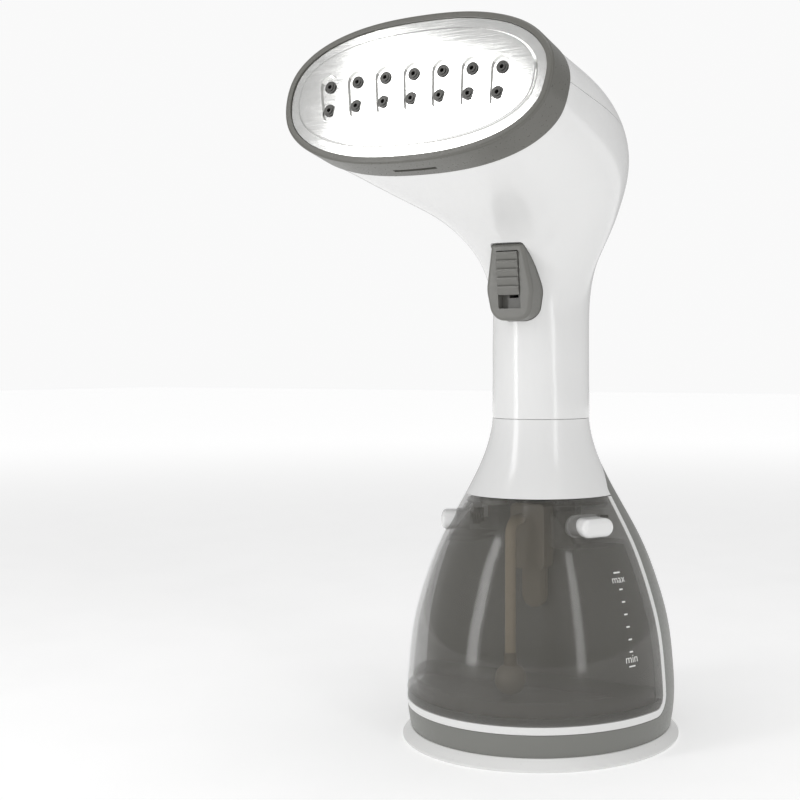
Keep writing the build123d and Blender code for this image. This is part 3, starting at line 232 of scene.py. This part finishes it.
strip(0, MARK_TOP_Z, MARK_W, MARK_T)
word("max", 4.2, MARK_TOP_Z - 2.6)
tick_step = (MARK_TOP_Z - MARK_LOW_Z - 12) / (TICKS - 1)
for tick in range(TICKS):
    strip(0, MARK_TOP_Z - 6.4 - tick * tick_step, MARK_W * 0.55, MARK_T)
word("min", 4.6, MARK_LOW_Z + 2.8)
strip(0, MARK_LOW_Z, MARK_W, MARK_T)

mark_mesh = bpy.data.meshes.new("level_marks")
marks.to_mesh(mark_mesh)
marks.free()
level_marks = bpy.data.objects.new("level_marks", mark_mesh)
bpy.context.scene.collection.objects.link(level_marks)
mark_mesh.materials.append(looks["level_print"])
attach(level_marks, "tank")

# ------------------------------------------------------------------ stage, light and camera
floor_mesh = bpy.data.meshes.new("floor")
FLOOR_HALF = 6.0
floor_mesh.from_pydata(
    [(-FLOOR_HALF, -FLOOR_HALF, 0), (FLOOR_HALF, -FLOOR_HALF, 0), (FLOOR_HALF, FLOOR_HALF, 0),
     (-FLOOR_HALF, FLOOR_HALF, 0)],
    [], [(0, 1, 2, 3)],
)
floor = bpy.data.objects.new("floor", floor_mesh)
bpy.context.scene.collection.objects.link(floor)
floor_look = surface("floor_white", (0.95, 0.95, 0.95), 0.7, change=0.003, grain=20.0, bump=0.0)
floor_shader = floor_look.node_tree.nodes["Principled BSDF"]
# Painted light: the floor glows, dim beside the object and brighter further out, in place of lamp light that
# falls off with distance.
floor_shader.inputs["Emission Color"].default_value = (1, 1, 1, 1)
floor_nodes = floor_look.node_tree.nodes
distance = floor_nodes.new("ShaderNodeVectorMath")
distance.operation = "LENGTH"
place = floor_nodes.new("ShaderNodeTexCoord")
painted_floor_glow = floor_nodes.new("ShaderNodeMapRange")
painted_floor_glow.interpolation_type = "SMOOTHSTEP"
painted_floor_glow.inputs["From Min"].default_value = 0.15
painted_floor_glow.inputs["From Max"].default_value = 2.2
painted_floor_glow.inputs["To Min"].default_value = 0.24
painted_floor_glow.inputs["To Max"].default_value = 0.56
floor_look.node_tree.links.new(place.outputs["Object"], distance.inputs[0])
floor_look.node_tree.links.new(distance.outputs["Value"], painted_floor_glow.inputs["Value"])
floor_look.node_tree.links.new(painted_floor_glow.outputs["Result"], floor_shader.inputs["Emission Strength"])
floor_mesh.materials.append(floor_look)


def area_light(name, place, aim, size, power, size_y=None):
    """A softbox at a place, turned towards a point."""
    data = bpy.data.lights.new(name, "AREA")
    data.energy = power
    data.size = size
    if size_y:
        data.shape = "RECTANGLE"
        data.size_y = size_y
    lamp = bpy.data.objects.new(name, data)
    lamp.location = place
    lamp.rotation_euler = (Vector(aim) - Vector(place)).to_track_quat("-Z", "Y").to_euler()
    bpy.context.scene.collection.objects.link(lamp)
    return lamp


AZIMUTH = math.radians(27.0)
toward = Vector((math.sin(AZIMUTH), -math.cos(AZIMUTH), 0))
right = Vector((math.cos(AZIMUTH), math.sin(AZIMUTH), 0))
up = Vector((0, 0, 1))
middle = (0, -0.02, 0.14)
area_light("left_box", toward * 0.45 - right * 0.75 + up * 0.3, middle, 0.16, 2.2, 0.9)
area_light("right_box", toward * 0.75 + right * 0.5 + up * 0.3, middle, 0.12, 1.2, 0.9)
area_light("top_box", toward * 0.3 + up * 1.2, middle, 0.9, 4.5)

world = bpy.data.worlds.new("studio")
bpy.context.scene.world = world
world.use_nodes = True
backdrop = world.node_tree.nodes["Background"]
backdrop.inputs["Color"].default_value = (1, 1, 1, 1)
backdrop.inputs["Strength"].default_value = 0.44
seen = world.node_tree.nodes.new("ShaderNodeBackground")
seen.inputs["Color"].default_value = (1, 1, 1, 1)
seen.inputs["Strength"].default_value = 0.95
chooser = world.node_tree.nodes.new("ShaderNodeMixShader")
rays = world.node_tree.nodes.new("ShaderNodeLightPath")
world.node_tree.links.new(rays.outputs["Is Camera Ray"], chooser.inputs[0])
world.node_tree.links.new(backdrop.outputs["Background"], chooser.inputs[1])
world.node_tree.links.new(seen.outputs["Background"], chooser.inputs[2])
world.node_tree.links.new(chooser.outputs["Shader"], world.node_tree.nodes["World Output"].inputs["Surface"])

camera_data = bpy.data.cameras.new("camera")
camera_data.lens = 57.15
camera_data.sensor_width = 36.0
camera_data.shift_x = -0.176
camera_data.shift_y = -0.045
camera_data.clip_start = 0.01
camera = bpy.data.objects.new("camera", camera_data)
camera.location = toward * 0.5465 + up * 0.1573
camera.rotation_euler = (math.pi / 2, 0, AZIMUTH)
bpy.context.scene.collection.objects.link(camera)
bpy.context.scene.camera = camera
bpy.context.scene.view_settings.view_transform = "Standard"
bpy.context.scene.cycles.transparent_max_bounces = 32
